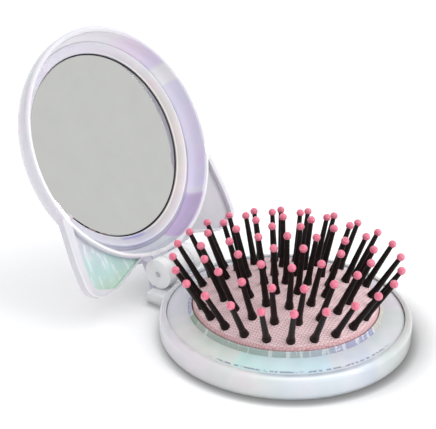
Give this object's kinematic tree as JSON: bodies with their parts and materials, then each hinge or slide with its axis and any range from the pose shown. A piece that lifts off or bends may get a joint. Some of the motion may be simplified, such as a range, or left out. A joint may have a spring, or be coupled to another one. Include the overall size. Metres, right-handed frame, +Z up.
{
  "type": "folding hairbrush with mirror",
  "caption": "Round folding pocket hairbrush: a ring-shaped base with a domed rubber cushion of ball-tipped pins and a hinged lid with two rounded ears and a mirror inside.",
  "frame": {"origin": "centre of the round base on the table plane", "axes": "+Z up out of the cushion, +Y from the base's centre to the hinge, +X along the hinge axis"},
  "size_m": [0.085, 0.1388, 0.0908],
  "materials": {
    "pearl_plastic": "pearly white gloss with a soft lilac and mint sheen",
    "bezel_plastic": "pearly gloss with pale blue, mint and lilac patches",
    "cushion_rubber": "pink rubber with a fine woven grain",
    "pin_nylon": "near-black moulded nylon, satin",
    "ball_tips": "pink gloss",
    "pin_steel": "plain steel",
    "mirror": "silvered glass with a ground bevel",
    "foam_tape": "foam mounting tape"
  },
  "bodies": {
    "base": {"base_shell": "pearl_plastic", "bezel_ring": "bezel_plastic", "cushion": "cushion_rubber", "hinge_pin": "pin_steel"},
    "lid": {"lid_shell": "pearl_plastic", "mirror_frame": "pearl_plastic", "mirror_glass": "mirror", "mirror_tape": "foam_tape"},
    "centre_group": {"centre_pins": "pin_nylon", "centre_tips": "ball_tips"},
    "inner_group": {"inner_pins": "pin_nylon", "inner_tips": "ball_tips"},
    "mid_group_1": {"mid_pins_1": "pin_nylon", "mid_tips_1": "ball_tips"},
    "mid_group_2": {"mid_pins_2": "pin_nylon", "mid_tips_2": "ball_tips"},
    "mid_group_3": {"mid_pins_3": "pin_nylon", "mid_tips_3": "ball_tips"},
    "mid_group_4": {"mid_pins_4": "pin_nylon", "mid_tips_4": "ball_tips"},
    "mid_group_5": {"mid_pins_5": "pin_nylon", "mid_tips_5": "ball_tips"},
    "mid_group_6": {"mid_pins_6": "pin_nylon", "mid_tips_6": "ball_tips"},
    "outer_group_1": {"outer_pins_1": "pin_nylon", "outer_tips_1": "ball_tips"},
    "outer_group_2": {"outer_pins_2": "pin_nylon", "outer_tips_2": "ball_tips"},
    "outer_group_3": {"outer_pins_3": "pin_nylon", "outer_tips_3": "ball_tips"},
    "outer_group_4": {"outer_pins_4": "pin_nylon", "outer_tips_4": "ball_tips"},
    "outer_group_5": {"outer_pins_5": "pin_nylon", "outer_tips_5": "ball_tips"},
    "outer_group_6": {"outer_pins_6": "pin_nylon", "outer_tips_6": "ball_tips"},
    "outer_group_7": {"outer_pins_7": "pin_nylon", "outer_tips_7": "ball_tips"},
    "outer_group_8": {"outer_pins_8": "pin_nylon", "outer_tips_8": "ball_tips"}
  },
  "joints": [
    {"name": "lid_hinge", "type": "hinge", "parent": "base", "child": "lid", "pos_m": [0, 0.04825, 0.0099], "axis": [1, 0, 0], "range_deg": [0, 117], "deforming": ["cushion"]},
    {"name": "centre_slide", "type": "slide", "parent": "base", "child": "centre_group", "axis": [0, 0, -1], "range_m": [0, 0.0186], "deforming": ["cushion"]},
    {"name": "inner_slide", "type": "slide", "parent": "base", "child": "inner_group", "axis": [0, 0, -1], "range_m": [0, 0.017], "deforming": ["cushion"]},
    {"name": "mid_tilt_1", "type": "hinge", "parent": "base", "child": "mid_group_1", "pos_m": [0.0672, 0.00458, 0.00747], "axis": [0.068, -0.9977, 0], "range_deg": [0, 19.25], "deforming": ["cushion"]},
    {"name": "mid_tilt_2", "type": "hinge", "parent": "base", "child": "mid_group_2", "pos_m": [0.02963, 0.06049, 0.00747], "axis": [0.898, -0.4399, 0], "range_deg": [0, 19.25], "deforming": ["cushion"]},
    {"name": "mid_tilt_3", "type": "hinge", "parent": "base", "child": "mid_group_3", "pos_m": [-0.03757, 0.05591, 0.00747], "axis": [0.83, 0.5577, 0], "range_deg": [0, 19.25], "deforming": ["cushion"]},
    {"name": "mid_tilt_4", "type": "hinge", "parent": "base", "child": "mid_group_4", "pos_m": [-0.0672, -0.00458, 0.00747], "axis": [-0.068, 0.9977, 0], "range_deg": [0, 19.25], "deforming": ["cushion"]},
    {"name": "mid_tilt_5", "type": "hinge", "parent": "base", "child": "mid_group_5", "pos_m": [-0.02963, -0.06049, 0.00747], "axis": [-0.898, 0.4399, 0], "range_deg": [0, 19.25], "deforming": ["cushion"]},
    {"name": "mid_tilt_6", "type": "hinge", "parent": "base", "child": "mid_group_6", "pos_m": [0.03757, -0.05591, 0.00747], "axis": [-0.83, -0.5577, 0], "range_deg": [0, 19.25], "deforming": ["cushion"]},
    {"name": "outer_tilt_1", "type": "hinge", "parent": "base", "child": "outer_group_1", "pos_m": [0.0576, 0.00666, 0.00634], "axis": [0.1149, -0.9934, 0], "range_deg": [0, 25.4], "deforming": ["cushion"]},
    {"name": "outer_tilt_2", "type": "hinge", "parent": "base", "child": "outer_group_2", "pos_m": [0.03602, 0.04544, 0.00634], "axis": [0.7837, -0.6211, 0], "range_deg": [0, 25.4], "deforming": ["cushion"]},
    {"name": "outer_tilt_3", "type": "hinge", "parent": "base", "child": "outer_group_3", "pos_m": [-0.00666, 0.0576, 0.00634], "axis": [0.9934, 0.1149, 0], "range_deg": [0, 25.4], "deforming": ["cushion"]},
    {"name": "outer_tilt_4", "type": "hinge", "parent": "base", "child": "outer_group_4", "pos_m": [-0.04544, 0.03602, 0.00634], "axis": [0.6211, 0.7837, 0], "range_deg": [0, 25.4], "deforming": ["cushion"]},
    {"name": "outer_tilt_5", "type": "hinge", "parent": "base", "child": "outer_group_5", "pos_m": [-0.0576, -0.00666, 0.00634], "axis": [-0.1149, 0.9934, 0], "range_deg": [0, 25.4], "deforming": ["cushion"]},
    {"name": "outer_tilt_6", "type": "hinge", "parent": "base", "child": "outer_group_6", "pos_m": [-0.03602, -0.04544, 0.00634], "axis": [-0.7837, 0.6211, 0], "range_deg": [0, 25.4], "deforming": ["cushion"]},
    {"name": "outer_tilt_7", "type": "hinge", "parent": "base", "child": "outer_group_7", "pos_m": [0.00666, -0.0576, 0.00634], "axis": [-0.9934, -0.1149, 0], "range_deg": [0, 25.4], "deforming": ["cushion"]},
    {"name": "outer_tilt_8", "type": "hinge", "parent": "base", "child": "outer_group_8", "pos_m": [0.04544, -0.03602, 0.00634], "axis": [-0.6211, -0.7837, 0], "range_deg": [0, 25.4], "deforming": ["cushion"]}
  ],
  "couplings": [
    {"joint": "centre_slide", "follows": "lid_hinge", "m_per_rad": 0.0091085},
    {"joint": "inner_slide", "follows": "lid_hinge", "m_per_rad": 0.008325},
    {"joint": "mid_tilt_1", "follows": "lid_hinge", "ratio": 0.16453},
    {"joint": "mid_tilt_2", "follows": "lid_hinge", "ratio": 0.16453},
    {"joint": "mid_tilt_3", "follows": "lid_hinge", "ratio": 0.16453},
    {"joint": "mid_tilt_4", "follows": "lid_hinge", "ratio": 0.16453},
    {"joint": "mid_tilt_5", "follows": "lid_hinge", "ratio": 0.16453},
    {"joint": "mid_tilt_6", "follows": "lid_hinge", "ratio": 0.16453},
    {"joint": "outer_tilt_1", "follows": "lid_hinge", "ratio": 0.21709},
    {"joint": "outer_tilt_2", "follows": "lid_hinge", "ratio": 0.21709},
    {"joint": "outer_tilt_3", "follows": "lid_hinge", "ratio": 0.21709},
    {"joint": "outer_tilt_4", "follows": "lid_hinge", "ratio": 0.21709},
    {"joint": "outer_tilt_5", "follows": "lid_hinge", "ratio": 0.21709},
    {"joint": "outer_tilt_6", "follows": "lid_hinge", "ratio": 0.21709},
    {"joint": "outer_tilt_7", "follows": "lid_hinge", "ratio": 0.21709},
    {"joint": "outer_tilt_8", "follows": "lid_hinge", "ratio": 0.21709}
  ]
}
